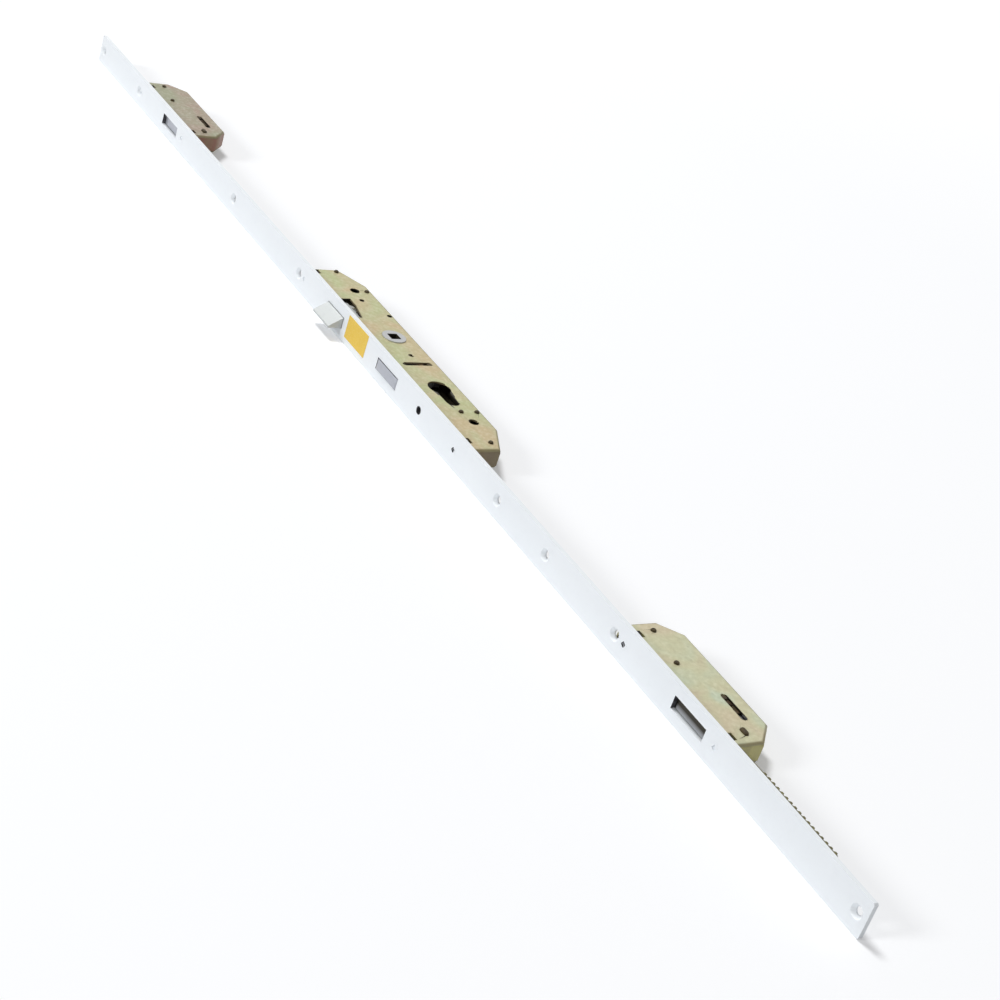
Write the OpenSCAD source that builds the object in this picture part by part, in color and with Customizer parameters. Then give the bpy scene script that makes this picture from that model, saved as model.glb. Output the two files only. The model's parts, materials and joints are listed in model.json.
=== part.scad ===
// Multipoint door lock: one long faceplate, a main case with latch, follower and deadbolt,
// and an upper and a lower case with one deadbolt each, all driven by one sliding rail.
// X runs along the faceplate to the lock's lower end, Y runs into the door, and Z lies along
// the spindle. The origin is on the axis of the cylinder hole, half way through the case.

/* [Faceplate] */
// Cylinder axis to the faceplate's upper end
plate_up = 628; // [610:1:760]
// Cylinder axis to the faceplate's lower end
plate_down = 522; // [510:1:700]
// Width of the faceplate
plate_w = 24; // [22:0.5:30]
// Thickness of the faceplate
plate_t = 3; // [2.5:0.5:4]
// Chamfer on the faceplate's four corners
plate_corner = 1; // [0.5:0.5:3]

/* [Reference distances] */
// Backset: front of the faceplate to the cylinder axis
backset = 25; // [25:0.5:35]
// Spindle to cylinder
centres = 72; // [72:1:92]
// Main deadbolt's axis above the cylinder
main_bolt_up = 30.5; // [29:0.5:33]
// Latch axis above the spindle
latch_up = 45; // [44:0.5:50]
// Upper deadbolt's axis above the cylinder
upper_bolt_up = 454; // [430:1:470]
// Lower deadbolt's axis below the cylinder
lower_bolt_down = 357.5; // [340:0.5:370]

/* [Cases] */
// Outer thickness of the cases
case_t = 14; // [14:0.5:18]
// Thickness of the case sheet
sheet = 1.3; // [1:0.1:1.4]
// Outer radius of the covers' drawn edge
fold_r = 2.6; // [1.6:0.1:3]
// Back plate set in from the cover's outline
tray_in = 0.6; // [0.3:0.1:0.8]
// Depth from the faceplate's front to the back of the cases
case_depth = 42; // [41:0.5:55]
// Cylinder axis to the main case's upper end, past the spindle
main_up = 106.5; // [100:0.5:115]
// Cylinder axis to the main case's lower end
main_down = 82.5; // [80:0.5:100]
// Main case's corner cut along the case
main_cut_x = 26.5; // [15:0.5:30]
// Main case's corner cut across the case
main_cut_y = 12.5; // [8:0.5:14]
// Bolt axis to a small case's upper end
aux_up = 81; // [80:0.5:95]
// Bolt axis to a small case's lower end
aux_down = 34; // [33:0.5:45]
// Small case's corner cut along the case
aux_cut_x = 14.5; // [8:0.5:15]
// Small case's corner cut across the case
aux_cut_y = 13.5; // [8:0.5:14]

/* [Deadbolts] */
// Width of a deadbolt along the faceplate
bolt_w = 30.5; // [28:0.5:31]
// Thickness of a deadbolt
bolt_t = 8; // [6:0.5:8]
// Throw of the deadbolts
throw = 20; // [12:0.5:20]
// Main deadbolt's nose in front of the faceplate when drawn back
main_bolt_proud = 0.5; // [0:0.1:1]
// Small deadbolts' nose behind the faceplate's front when drawn back
aux_bolt_sunk = 2.4; // [0:0.1:2.6]
// Chamfer on a deadbolt's nose
bolt_nose = 1; // [0.5:0.1:2]
// Diameter of the drive pins and guide studs
pin_d = 4; // [3:0.5:4]

/* [Latch and follower] */
// Width of the latch bolt along the faceplate
latch_w = 26; // [22:0.5:27]
// Thickness of the latch bolt
latch_t = 8; // [6:0.5:8]
// Latch nose in front of the faceplate
latch_out = 11; // [8:0.5:11]
// Side of the spindle's square hole
square = 8; // [7:0.5:10]
// Radius of the follower's bearing collars
collar_r = 9; // [8:0.5:10]
// Follower collar proud of the case
collar_proud = 0.7; // [0.2:0.1:1]
// Follower axis to the lever's tip
lever_len = 22; // [20:0.5:23]
// Diameter of the spring wire
wire_d = 0.8; // [0.6:0.1:1]

/* [Drive rail] */
// Thickness of the drive plates
rail_t = 1.4; // [1:0.1:1.4]
// Width of the rail behind the faceplate
rail_w = 5.4; // [4:0.2:6]
// Thickness of the connecting rods
rod_t = 1.7; // [1.2:0.1:2]
// Lower bolt axis to the end of the toothed rod
rack_end = 124.5; // [110:0.5:140]
// Pitch of the rod's teeth
rack_pitch = 4; // [3:0.25:5]
// Depth of the rod's teeth
rack_depth = 1.2; // [0.8:0.1:2]
// Teeth on the rod
rack_teeth = 17; // [8:1:17]

/* [Holes and screws] */
// Radius of the euro-profile hole's round part
profile_r = 8.6; // [8.5:0.05:9]
// Width of the euro-profile hole's straight part
profile_w = 10.4; // [10:0.1:11]
// Axis of the round part to the bottom of the profile
profile_tail = 24.8; // [24.5:0.1:25.5]
// Cylinder axis to the cylinder's fixing screw
cylinder_screw_down = 19.5; // [18:0.5:21]
// Radius of the hole for the cylinder's fixing screw
cylinder_screw_r = 3; // [2.6:0.1:3.2]
// Radius of the door screw holes
door_hole_r = 2.4; // [2:0.1:2.6]
// Radius of the door screw holes' countersink
door_sink_r = 4.4; // [4:0.1:4.8]
// Radius of the case screws' shank
case_screw_r = 1.6; // [1.5:0.1:2]
// Radius of the case screws' head
case_head_r = 3.4; // [3:0.1:3.8]
// Radius of the handle screw holes through the main case
handle_hole_r = 3.7; // [2.5:0.1:4]
// Upper handle hole above the spindle
handle_up = 71.5; // [70:0.5:75]
// Lower handle hole below the cylinder
handle_down = 46.5; // [44:0.5:50]
// Radius of the case pillars
pillar_r = 2.4; // [2:0.1:2.5]
// Radius of the pillars' riveted ends
rivet_r = 1.8; // [1.4:0.1:1.9]

/* [Clearances] */
// Gap round each bolt in the faceplate
bolt_gap = 0.5; // [0.2:0.05:0.6]
// Gap between sliding flat faces
slide_gap = 0.1; // [0.05:0.05:0.2]
// Gap round each pin in its slot
pin_gap = 0.15; // [0.1:0.05:0.3]
// Radial gap of a turning collar
turn_gap = 0.06; // [0.03:0.01:0.1]
// Radial gap of a fixed pin or screw
fixed_gap = 0.03; // [0.02:0.01:0.05]

/* [Hidden] */
$fn = 48;
eps = 0.5;

zinc = [0.79, 0.77, 0.62];
zinc_dark = [0.55, 0.50, 0.36];
white = [0.92, 0.94, 0.95];
nickel = [0.78, 0.79, 0.82];
steel = [0.62, 0.64, 0.67];

// Planes across the lock
y_front = -backset;
y_plate = y_front + plate_t;
y_case = y_front + case_depth;
y_wall = y_case - sheet;
z_case = case_t / 2;
z_in = z_case - sheet;
plate_top = plate_w / 2;

// Axes along the lock
hub_x = -centres;
latch_x = hub_x - latch_up;
main_x = -main_bolt_up;
upper_x = -upper_bolt_up;
lower_x = lower_bolt_down;
main_x0 = hub_x - main_up;
main_x1 = main_down;

// Rail: plates lie under the covers, rods under the plates
rail_z1 = z_in - slide_gap;
rail_z0 = rail_z1 - rail_t;
rod_z0 = rail_z0 - rod_t;
lug_t = sheet;
rail_y0 = y_plate + lug_t + 3 * slide_gap;
rail_y1 = rail_y0 + rail_w;
pin_r = pin_d / 2;
slot_r = pin_r + pin_gap;
slot_wall = 2.5;
arm_r = slot_r + slot_wall;
arm_foot = 1.5 * arm_r;
stud_arm_r = arm_r - 1;
stud_neck_r = pin_r - 0.5;
stud_web = 2.5;

// Drive pins of the bolts when drawn back
pin_back = arm_r + fold_r - sheet + slide_gap;
main_pin = [main_x - 2.5, y_wall - pin_back];
aux_pin = [1.5, y_wall - pin_back - 4];
stud = [-8, aux_pin[1] - 1.5];
bolt_tail = 4;
bolt_support = 4;

// Case screws and their lugs
lug_w = 7;
lug_z = 4;
main_lugs = [main_x0 + sheet + 4, main_x1 - 12];
aux_lugs = [-aux_up + 11, aux_down - 8];
notch_w = 6.5;
notch_y = 8.5;
screw_tip = 7;

// Door screws: at the plate's ends, at the small cases' upper ends and off the main case's ends
end_screw_in = 8;
upper_screw_in = 6.5;
lower_screw_in = 1;
main_screws_up = [133, 4];
main_screws_down = [49.5, 112];
door_screws = concat(
    [-plate_up + end_screw_in, upper_x - aux_up + upper_screw_in], [for (d = main_screws_up) main_x0 - d],
    [for (d = main_screws_down) main_x1 + d],
    [lower_x - aux_up + lower_screw_in, plate_down - end_screw_in]);

// Follower and the outer radius of its return spring
follower_r = 11;
follower_t = 8;
return_r = 1.4;
spring_lift = return_r + wire_d / 2;

// Pillars: cylinder-axis places in the main case, bolt-axis places in the small cases
pillar_y = y_wall - pillar_r - (fold_r - sheet) - fixed_gap;
end_pillar_y = 1;
end_pillar_in = [5, 9];
post_right = 12.5;
main_pillars = [
    [main_x0 + end_pillar_in[0], end_pillar_y], [hub_x - handle_up + 1.5, pillar_y],
    [profile_tail + 8.5, -0.5], [profile_tail + 9, pillar_y],
    [main_x1 - end_pillar_in[1], end_pillar_y]];
main_dimples = [[latch_x - 11, 1], [(hub_x + main_x) / 2 + 6, 0.5],
    [latch_x + post_right, follower_r + spring_lift]];
aux_pillars = [[-aux_up + 9, -4], [-aux_up / 2, -8.3]];
aux_oblong = [aux_down - 10.5, -4.3];
oblong_half = 1.5;
dimple_r = 2;
rivet_sunk = 0.4;
rivet_proud = 0.8;

// Latch and follower inside the case
latch_back = y_plate + 12;
latch_pull = latch_out + 0.5;
latch_slot = 8;
tail_t = 3;
tail_w = 6;
tail_x1 = latch_x + latch_w / 2;
tail_x0 = tail_x1 - tail_w;
tail_reach = 4.2;
lever_tip_r = 2;
lever_y = -4.5;
lever_gap = 0.3;
tail_y0 = lever_y + lever_tip_r + lever_gap;
spring_r = 2.6;
spring_x = latch_x - 4;
spring_bore = spring_r + wire_d / 2 + 0.3;
spring_y0 = y_plate - 2;
spring_y1 = latch_back + latch_pull + 1;
return_z = -z_in + spring_lift + 0.2;
return_y = follower_r + spring_lift;
return_x0 = latch_x + post_right;
post_top = -tail_t / 2 - 0.4;

// Outline of a case with both back corners cut
function outline(x0, x1, yf, yb, cx, cy) =
    [[x0, yf], [x1, yf], [x1, yb - cy], [x1 - cx, yb], [x0 + cx, yb], [x0, yb - cy]];
// Corner cut of the same outline a distance further in
function cut_in(c, other, d) = c - d - d * (c - norm([c, other])) / other;
// The outline set in at its ends, corner cuts and back
function inset(x0, x1, yf, cx, cy, d) =
    outline(x0 + d, x1 - d, yf, y_case - d, cut_in(cx, cy, d), cut_in(cy, cx, d));

// Round-ended bar or slot between two points
module capsule(a, b, r, z0, z1) {
    run = b - a;
    translate([a[0], a[1], z0]) rotate([0, 0, atan2(run[1], run[0])]) {
        for (x = [0, norm(run)])
            translate([x, 0, 0]) cylinder(r = r, h = z1 - z0);
        translate([0, -r, 0]) cube([norm(run), 2 * r, z1 - z0]);
    }
}

module box(x0, x1, y0, y1, z0, z1) {
    translate([x0, y0, z0]) cube([x1 - x0, y1 - y0, z1 - z0]);
}

// Cylinder along Y
module rod_y(x, r, y0, y1, z = 0) {
    translate([x, y0, z]) rotate([-90, 0, 0]) cylinder(r = r, h = y1 - y0);
}

// Countersink along Y, wide at the faceplate's front
module sink_y(x, head, r) {
    translate([x, y_front, 0]) rotate([-90, 0, 0]) cylinder(r1 = head, r2 = r, h = head - r);
}

// Cylinder profile: round part and straight part
module profile_cut(z0, z1) {
    translate([0, 0, z0]) cylinder(r = profile_r, h = z1 - z0);
    capsule([0, 0], [profile_tail - profile_w / 2, 0], profile_w / 2, z0, z1);
}

module bolt_opening(x, w, t) {
    box(x - w / 2 - bolt_gap, x + w / 2 + bolt_gap, y_front - eps, y_plate + eps,
        -t / 2 - bolt_gap, t / 2 + bolt_gap);
}

module faceplate() {
    color(white) difference() {
        translate([0, y_plate, 0]) rotate([90, 0, 0]) linear_extrude(plate_t)
            polygon([
                [-plate_up + plate_corner, -plate_top], [plate_down - plate_corner, -plate_top],
                [plate_down, -plate_top + plate_corner], [plate_down, plate_top - plate_corner],
                [plate_down - plate_corner, plate_top], [-plate_up + plate_corner, plate_top],
                [-plate_up, plate_top - plate_corner], [-plate_up, -plate_top + plate_corner]]);
        for (x = [main_x, upper_x, lower_x])
            bolt_opening(x, bolt_w, bolt_t);
        bolt_opening(latch_x, latch_w, latch_t);
        for (x = door_screws) {
            rod_y(x, door_hole_r, y_front - eps, y_plate + eps);
            sink_y(x, door_sink_r, door_hole_r);
        }
        for (x = case_screw_places()) {
            rod_y(x, case_screw_r + fixed_gap, y_front - eps, y_plate + eps);
            sink_y(x, case_head_r + fixed_gap, case_screw_r + fixed_gap);
        }
        rod_y(cylinder_screw_down, cylinder_screw_r, y_front - eps, y_plate + eps);
    }
}

function case_screw_places() = concat(
    main_lugs, [for (b = [upper_x, lower_x], l = aux_lugs) b + l]);

// Back plate of a case, with bent lugs against the faceplate
module tray(x0, x1, cx, cy, lugs) {
    translate([0, 0, -z_case]) linear_extrude(sheet)
        polygon(inset(x0, x1, y_plate, cx, cy, tray_in));
    for (x = lugs)
        difference() {
            box(x - lug_w / 2, x + lug_w / 2, y_plate, y_plate + lug_t, -z_in, lug_z);
            rod_y(x, case_screw_r + fixed_gap, y_plate - eps, y_plate + lug_t + eps);
        }
}

// Pressed ribs on the back plate that carry a sliding bolt
module floor_ribs(x, w, t, y1) {
    for (s = [-1, 1])
        box(x + s * w / 3 - bolt_support / 2, x + s * w / 3 + bolt_support / 2,
            y_plate, y1, -z_in, -t / 2 - slide_gap);
}

module rivet_holes(places, z0, z1) {
    for (p = places)
        translate([p[0], p[1], z0]) cylinder(r = rivet_r + fixed_gap, h = z1 - z0);
}

// Oblong pillar of a small case
module oblong(r, z0, z1) {
    capsule(aux_oblong - [oblong_half, 0], aux_oblong + [oblong_half, 0], r, z0, z1);
}

handle_y = 2.5;
module handle_holes(z0, z1) {
    for (x = [hub_x - handle_up, handle_down])
        translate([x, handle_y, z0]) cylinder(r = handle_hole_r, h = z1 - z0);
}

module main_tray() {
    color(zinc) difference() {
        union() {
            tray(main_x0, main_x1, main_cut_x, main_cut_y, main_lugs);
            floor_ribs(main_x, bolt_w, bolt_t, main_pin[1] - throw / 2);
            floor_ribs(latch_x, latch_w, latch_t, latch_back);
            box(spring_x - 5, spring_x + 5, spring_y1, spring_y1 + sheet, -z_in, latch_t / 2);
        }
        rivet_holes(main_pillars, -z_case - eps, -z_in + eps);
        translate([return_x0, return_y, -z_case - eps])
            cylinder(r = rivet_r + fixed_gap, h = sheet + 2 * eps);
        handle_holes(-z_case - eps, -z_in + eps);
        profile_cut(-z_case - eps, -z_in + eps);
        translate([hub_x, 0, -z_case - eps]) cylinder(r = collar_r + turn_gap, h = sheet + 2 * eps);
    }
}

// Block with a case's outline set in by d, its upper edge rounded except along the front
fold_step = 30;
module drawn(x0, x1, yf, cx, cy, d, r, z0, z1) {
    levels = concat([[d, z0], [d, z1 - r]],
        [for (a = [fold_step : fold_step : 90]) [d + r * (1 - cos(a)), z1 - r + r * sin(a)]]);
    points = [for (l = levels) for (q = inset(x0, x1, yf, cx, cy, l[0])) [q[0], q[1], l[1]]];
    top = len(levels) - 1;
    n = len(points) / len(levels);
    sides = [for (i = [0 : top - 1]) for (k = [0 : n - 1])
        [i * n + k, (i + 1) * n + k, (i + 1) * n + (k + 1) % n, i * n + (k + 1) % n]];
    lid = [for (k = [n - 1 : -1 : 0]) top * n + k];
    polyhedron(points, concat([[for (k = [0 : n - 1]) k]], sides, [lid]));
}

// Drawn cover: top, back, cut corners and ends, open to the faceplate, with slots for the rail
module cover(x0, x1, cx, cy, lugs) {
    difference() {
        drawn(x0, x1, y_plate, cx, cy, 0, fold_r, -z_in, z_case);
        drawn(x0, x1, y_plate - eps, cx, cy, sheet, fold_r - sheet, -z_in - eps, z_in);
        box(x0 - eps, x1 + eps, y_plate - eps, rail_y1 + 3 * slide_gap, rod_z0 - 2 * slide_gap, z_in);
        for (x = lugs)
            box(x - notch_w / 2, x + notch_w / 2, y_plate - eps, y_plate + notch_y,
                z_in - eps, z_case + eps);
    }
}

// Window over the latch: square at its upper end, sloping in at its lower end
window_front = 4.5;
window_side = 10;
window_deep = 14;
module latch_window() {
    x0 = latch_x - latch_w / 2;
    x1 = latch_x + latch_w / 2 + 3.5;
    translate([0, 0, z_in - eps]) linear_extrude(sheet + 2 * eps)
        polygon([[x0, y_plate + window_front], [x1, y_plate + window_front], [x1, y_plate + window_side],
            [latch_x - 3, y_plate + window_deep], [x0, y_plate + window_deep]]);
}

module main_cover() {
    color(zinc) difference() {
        cover(main_x0, main_x1, main_cut_x, main_cut_y, main_lugs);
        rivet_holes(main_pillars, z_in - eps, z_case + eps);
        for (p = main_dimples)
            translate([p[0], p[1], z_in - eps]) cylinder(r = dimple_r, h = sheet + 2 * eps);
        handle_holes(z_in - eps, z_case + eps);
        profile_cut(z_in - eps, z_case + eps);
        translate([hub_x, 0, z_in - eps]) cylinder(r = collar_r + turn_gap, h = sheet + 2 * eps);
        capsule(main_pin, main_pin - [0, throw], slot_r, z_in - eps, z_case + eps);
        latch_window();
    }
}

module aux_tray(x) {
    color(zinc) translate([x, 0, 0]) difference() {
        union() {
            tray(-aux_up, aux_down, aux_cut_x, aux_cut_y, aux_lugs);
            floor_ribs(0, bolt_w, bolt_t, aux_pin[1] - throw / 2);
        }
        rivet_holes(aux_pillars, -z_case - eps, -z_in + eps);
        oblong(rivet_r + fixed_gap, -z_case - eps, -z_in + eps);
    }
}

module aux_cover(x) {
    color(zinc) translate([x, 0, 0]) difference() {
        cover(-aux_up, aux_down, aux_cut_x, aux_cut_y, aux_lugs);
        rivet_holes(aux_pillars, z_in - eps, z_case + eps);
        oblong(rivet_r + fixed_gap, z_in - eps, z_case + eps);
        capsule(stud, stud + [throw, 0], slot_r, z_in - eps, z_case + eps);
    }
}

module upper_tray() { aux_tray(upper_x); }
module lower_tray() { aux_tray(lower_x); }
module upper_cover() { aux_cover(upper_x); }
module lower_cover() { aux_cover(lower_x); }

// Pillars that hold tray and cover apart, with riveted ends
module pillars(places) {
    color(zinc_dark) for (p = places) translate([p[0], p[1], 0]) {
        translate([0, 0, -z_in]) cylinder(r = pillar_r, h = 2 * z_in);
        translate([0, 0, -z_case - rivet_proud])
            cylinder(r = rivet_r, h = 2 * (z_case + rivet_proud));
    }
}

module aux_rivets(x) {
    translate([x, 0, 0]) {
        pillars(aux_pillars);
        color(zinc_dark) {
            oblong(pillar_r, -z_in, z_in);
            oblong(rivet_r, -z_case - rivet_proud, z_case + rivet_proud);
        }
    }
}

module main_rivets() { pillars(main_pillars); }
module upper_rivets() { aux_rivets(upper_x); }
module lower_rivets() { aux_rivets(lower_x); }

module case_screws() {
    color(steel) for (x = case_screw_places()) {
        sink_y(x, case_head_r, case_screw_r);
        rod_y(x, case_screw_r, y_front, y_plate + screw_tip);
    }
}

// Plain label on the faceplate between latch and deadbolt
label_t = 0.15;
label_gap = 7;
label_x0 = latch_x + latch_w / 2 + label_gap;
label_w = 32;
label_z0 = -7;
label_z1 = 10.5;
module label() {
    color([0.9, 0.74, 0.27])
        box(label_x0, label_x0 + label_w, y_front - label_t, y_front, label_z0, label_z1);
}

// Spring detent that holds the rail at both ends of its travel
detent_x = main_x1 - 26;
detent_w = 2.4;
detent_depth = 1.4;
leaf_t = 0.6;
leaf_y = rail_y1 + 1;
leaf_end = main_x1 - end_pillar_in[1] - pillar_r;
module notch(x, gap) {
    translate([x, rail_y1, rail_z0 - eps]) linear_extrude(rail_t + 2 * eps)
        polygon([[-detent_w - gap, eps], [0, -detent_depth - gap], [detent_w + gap, eps]]);
}
module detent_spring() {
    color(steel) translate([0, 0, rail_z0]) linear_extrude(rail_t - slide_gap)
        polygon([
            [detent_x - detent_w, leaf_y + leaf_t], [detent_x - detent_w, leaf_y],
            [detent_x, rail_y1 - detent_depth + 2 * slide_gap], [detent_x + detent_w, leaf_y],
            [leaf_end, end_pillar_y - leaf_t], [leaf_end, end_pillar_y],
            [detent_x + detent_w, leaf_y + leaf_t]]);
}

// Post for the follower's return spring
module spring_post() {
    color(zinc_dark) translate([return_x0, return_y, 0]) {
        translate([0, 0, -z_in]) cylinder(r = pin_r, h = post_top + z_in);
        translate([0, 0, -z_case + rivet_sunk]) cylinder(r = rivet_r, h = sheet);
    }
}

// Rail strip behind the faceplate
module strip(x0, x1) { box(x0, x1, rail_y0, rail_y1, rail_z0, rail_z1); }

// Arm with the sloping slot that drives a bolt's pin
module drive_arm(pin) {
    capsule(pin, pin - [throw, throw], arm_r, rail_z0, rail_z1);
}
module drive_slot(pin) {
    capsule(pin, pin - [throw, throw], slot_r, rail_z0 - eps, rail_z1 + eps);
}

// Ends of the rail's pieces, from the bolts they have to pass
joint_len = 15;
rod_clear = 1.5;
upper_rod_x0 = upper_x + bolt_w / 2 + rod_clear;
upper_rod_x1 = latch_x - latch_w / 2 - throw - rod_clear;
rod_reach_in = 38;
lower_rod_x0 = main_x1 - rod_reach_in;
lower_rod_x1 = lower_x - bolt_w / 2 - throw - rod_clear;
rack_x0 = lower_x + bolt_w / 2 + rod_clear;
rack_x1 = lower_x + rack_end;
rack_case_gap = 2.5;
rack_step = lower_x + aux_down + rack_case_gap;

// Driver for the cylinder's cam: two lugs with the cam's way between them
cam_w = 12;
cam_lug = 5;
cam_y = -11;
cam_x = -throw / 2;

module main_drive_plate() {
    color(zinc) difference() {
        union() {
            strip(upper_rod_x1 - joint_len, lower_rod_x0 + joint_len);
            drive_arm(main_pin);
            box(main_pin[0] - throw - arm_foot / 2, main_pin[0] - throw + arm_foot / 2,
                rail_y0, main_pin[1] - throw, rail_z0, rail_z1);
            for (s = [-1, 1])
                box(cam_x + s * (cam_w + cam_lug) / 2 - cam_lug / 2,
                    cam_x + s * (cam_w + cam_lug) / 2 + cam_lug / 2,
                    rail_y0, cam_y, rail_z0, rail_z1);
        }
        drive_slot(main_pin);
        rail_rivet_holes();
        for (x = [detent_x, detent_x - throw])
            notch(x, slide_gap);
    }
}

module aux_drive_plate(x, x0, x1) {
    pin = [x + aux_pin[0], aux_pin[1]];
    at_stud = [x + stud[0], stud[1]];
    color(zinc) difference() {
        union() {
            strip(x0, x1);
            drive_arm(pin);
            capsule(at_stud, at_stud + stud_web * [1, -1], stud_arm_r, rail_z0, rail_z1);
        }
        drive_slot(pin);
        translate([at_stud[0], at_stud[1], rail_z0 - eps])
            cylinder(r = stud_neck_r + fixed_gap, h = rail_t + 2 * eps);
        rail_rivet_holes();
    }
}

module upper_drive_plate() {
    aux_drive_plate(upper_x, upper_x + aux_pin[0] - throw - arm_r, upper_rod_x0 + joint_len);
}
module lower_drive_plate() {
    aux_drive_plate(lower_x, lower_rod_x1 - joint_len, rack_x0 + joint_len);
}

// Connecting rods under the plates
module rod(x0, x1) {
    color(zinc) difference() {
        box(x0, x1, rail_y0, rail_y1, rod_z0, rail_z0);
        rail_rivet_holes();
    }
}
module upper_rod() { rod(upper_rod_x0, upper_rod_x1); }
module lower_rod() { rod(lower_rod_x0, lower_rod_x1); }

// Rod end with coupling teeth on its back, for a longer rod below
rack_z0 = -2;
rack_z1 = z_case;
rack_root_in = 0.1;
rack_first = rack_x1 - rack_teeth * rack_pitch;
module toothed_rod() {
    root = rail_y1 - rack_root_in;
    tip = root + rack_depth;
    tooth = [[0, root], [0.2, tip], [0.55, tip], [0.75, root]];
    color(zinc_dark) difference() {
        union() {
            box(rack_x0, rack_step, rail_y0, rail_y1, rod_z0, rail_z0);
            translate([0, 0, rack_z0]) linear_extrude(rack_z1 - rack_z0)
                polygon(concat(
                    [[rack_x1, rail_y0], [rack_step, rail_y0], [rack_step, root]],
                    [for (i = [0 : rack_teeth - 1], p = tooth)
                        [rack_first + (i + p[0]) * rack_pitch, p[1]]],
                    [[rack_x1, root]]));
        }
        rail_rivet_holes();
    }
}

// Guide studs of the small drive plates, running in the covers' slots
module guide_studs() {
    color(zinc_dark) for (x = [upper_x, lower_x])
        translate([x + stud[0], stud[1], 0]) {
            translate([0, 0, rail_z0]) cylinder(r = stud_neck_r, h = rail_t);
            translate([0, 0, rail_z1]) cylinder(r = pin_r, h = z_case - rivet_sunk - rail_z1);
        }
}

// Rivets that join plates and rods
rail_rivet_r = 1.4;
rail_rivets_x = [for (x = [
    upper_rod_x0 + joint_len / 2, upper_rod_x1 - joint_len / 2, lower_rod_x0 + joint_len / 2,
    lower_rod_x1 - joint_len / 2, rack_x0 + joint_len / 2], s = [-1, 1]) x + s * joint_len / 4];
module rail_rivet_holes() {
    for (x = rail_rivets_x)
        translate([x, (rail_y0 + rail_y1) / 2, rod_z0 - eps])
            cylinder(r = rail_rivet_r + fixed_gap, h = rail_z1 - rod_z0 + 2 * eps);
}
module rail_rivets() {
    color(zinc_dark) for (x = rail_rivets_x)
        translate([x, (rail_y0 + rail_y1) / 2, rod_z0]) cylinder(r = rail_rivet_r, h = rail_z1 - rod_z0);
}

// Deadbolt with chamfered nose, a narrower tail and a hole for its drive pin
module deadbolt(x, nose, pin) {
    hw = bolt_w / 2;
    tail_in = 4;
    tail_y = pin[1] - 5;
    color(nickel) difference() {
        translate([0, 0, -bolt_t / 2]) linear_extrude(bolt_t)
            polygon([
                [x - hw + bolt_nose, nose], [x + hw - bolt_nose, nose], [x + hw, nose + bolt_nose],
                [x + hw, tail_y], [x + hw - tail_in, tail_y + tail_in],
                [x + hw - tail_in, pin[1] + bolt_tail], [x - hw + tail_in, pin[1] + bolt_tail],
                [x - hw + tail_in, tail_y + tail_in], [x - hw, tail_y], [x - hw, nose + bolt_nose]]);
        translate([pin[0], pin[1], -bolt_t / 4]) cylinder(r = pin_r + fixed_gap, h = bolt_t);
    }
}

module main_bolt() { deadbolt(main_x, y_front - main_bolt_proud, main_pin); }
module upper_bolt() { deadbolt(upper_x, y_front + aux_bolt_sunk, aux_pin + [upper_x, 0]); }
module lower_bolt() { deadbolt(lower_x, y_front + aux_bolt_sunk, aux_pin + [lower_x, 0]); }

module drive_pin(pin, z1) {
    color(zinc_dark) translate([pin[0], pin[1], -bolt_t / 4]) cylinder(r = pin_r, h = z1 + bolt_t / 4);
}
module main_bolt_pin() { drive_pin(main_pin, z_case - rivet_sunk); }
module upper_bolt_pin() { drive_pin(aux_pin + [upper_x, 0], rail_z1); }
module lower_bolt_pin() { drive_pin(aux_pin + [lower_x, 0], rail_z1); }

// Latch bolt: nose sloping on one side, bored for its spring and slotted for its tail
latch_tip = 1.4;
module latch_bolt() {
    ht = latch_t / 2;
    color(nickel) difference() {
        translate([latch_x + latch_w / 2, 0, 0]) rotate([0, -90, 0]) linear_extrude(latch_w)
            polygon([[-ht, latch_back], [-ht, y_front - latch_out], [-ht + latch_tip, y_front - latch_out],
                [ht, y_front - 0.6], [ht, latch_back]]);
        rod_y(spring_x, spring_bore, spring_y0, latch_back + eps);
        box(tail_x0 - slide_gap, tail_x1 + eps, latch_back - latch_slot, latch_back + eps,
            -tail_t / 2 - slide_gap / 2, tail_t / 2 + slide_gap / 2);
        translate([(tail_x0 + tail_x1) / 2, latch_back - latch_slot / 2, -latch_t])
            cylinder(r = rivet_r + fixed_gap, h = 2 * latch_t);
    }
}

// Tail plate from the latch bolt to the follower's lever
module latch_tail() {
    tail_end = hub_x - lever_len + tail_reach;
    color(zinc) translate([0, 0, -tail_t / 2]) difference() {
        linear_extrude(tail_t)
            polygon([
                [tail_x0, latch_back - latch_slot + slide_gap],
                [tail_x1, latch_back - latch_slot + slide_gap],
                [tail_x1, tail_y0], [tail_end, tail_y0], [tail_end, tail_y0 + tail_reach],
                [tail_x0, tail_y0 + tail_reach]]);
        translate([(tail_x0 + tail_x1) / 2, latch_back - latch_slot / 2, -eps])
            cylinder(r = rivet_r + fixed_gap, h = tail_t + 2 * eps);
    }
}

module latch_rivet() {
    color(zinc_dark) translate([(tail_x0 + tail_x1) / 2, latch_back - latch_slot / 2, -latch_t / 2])
        cylinder(r = rivet_r, h = latch_t);
}

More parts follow.
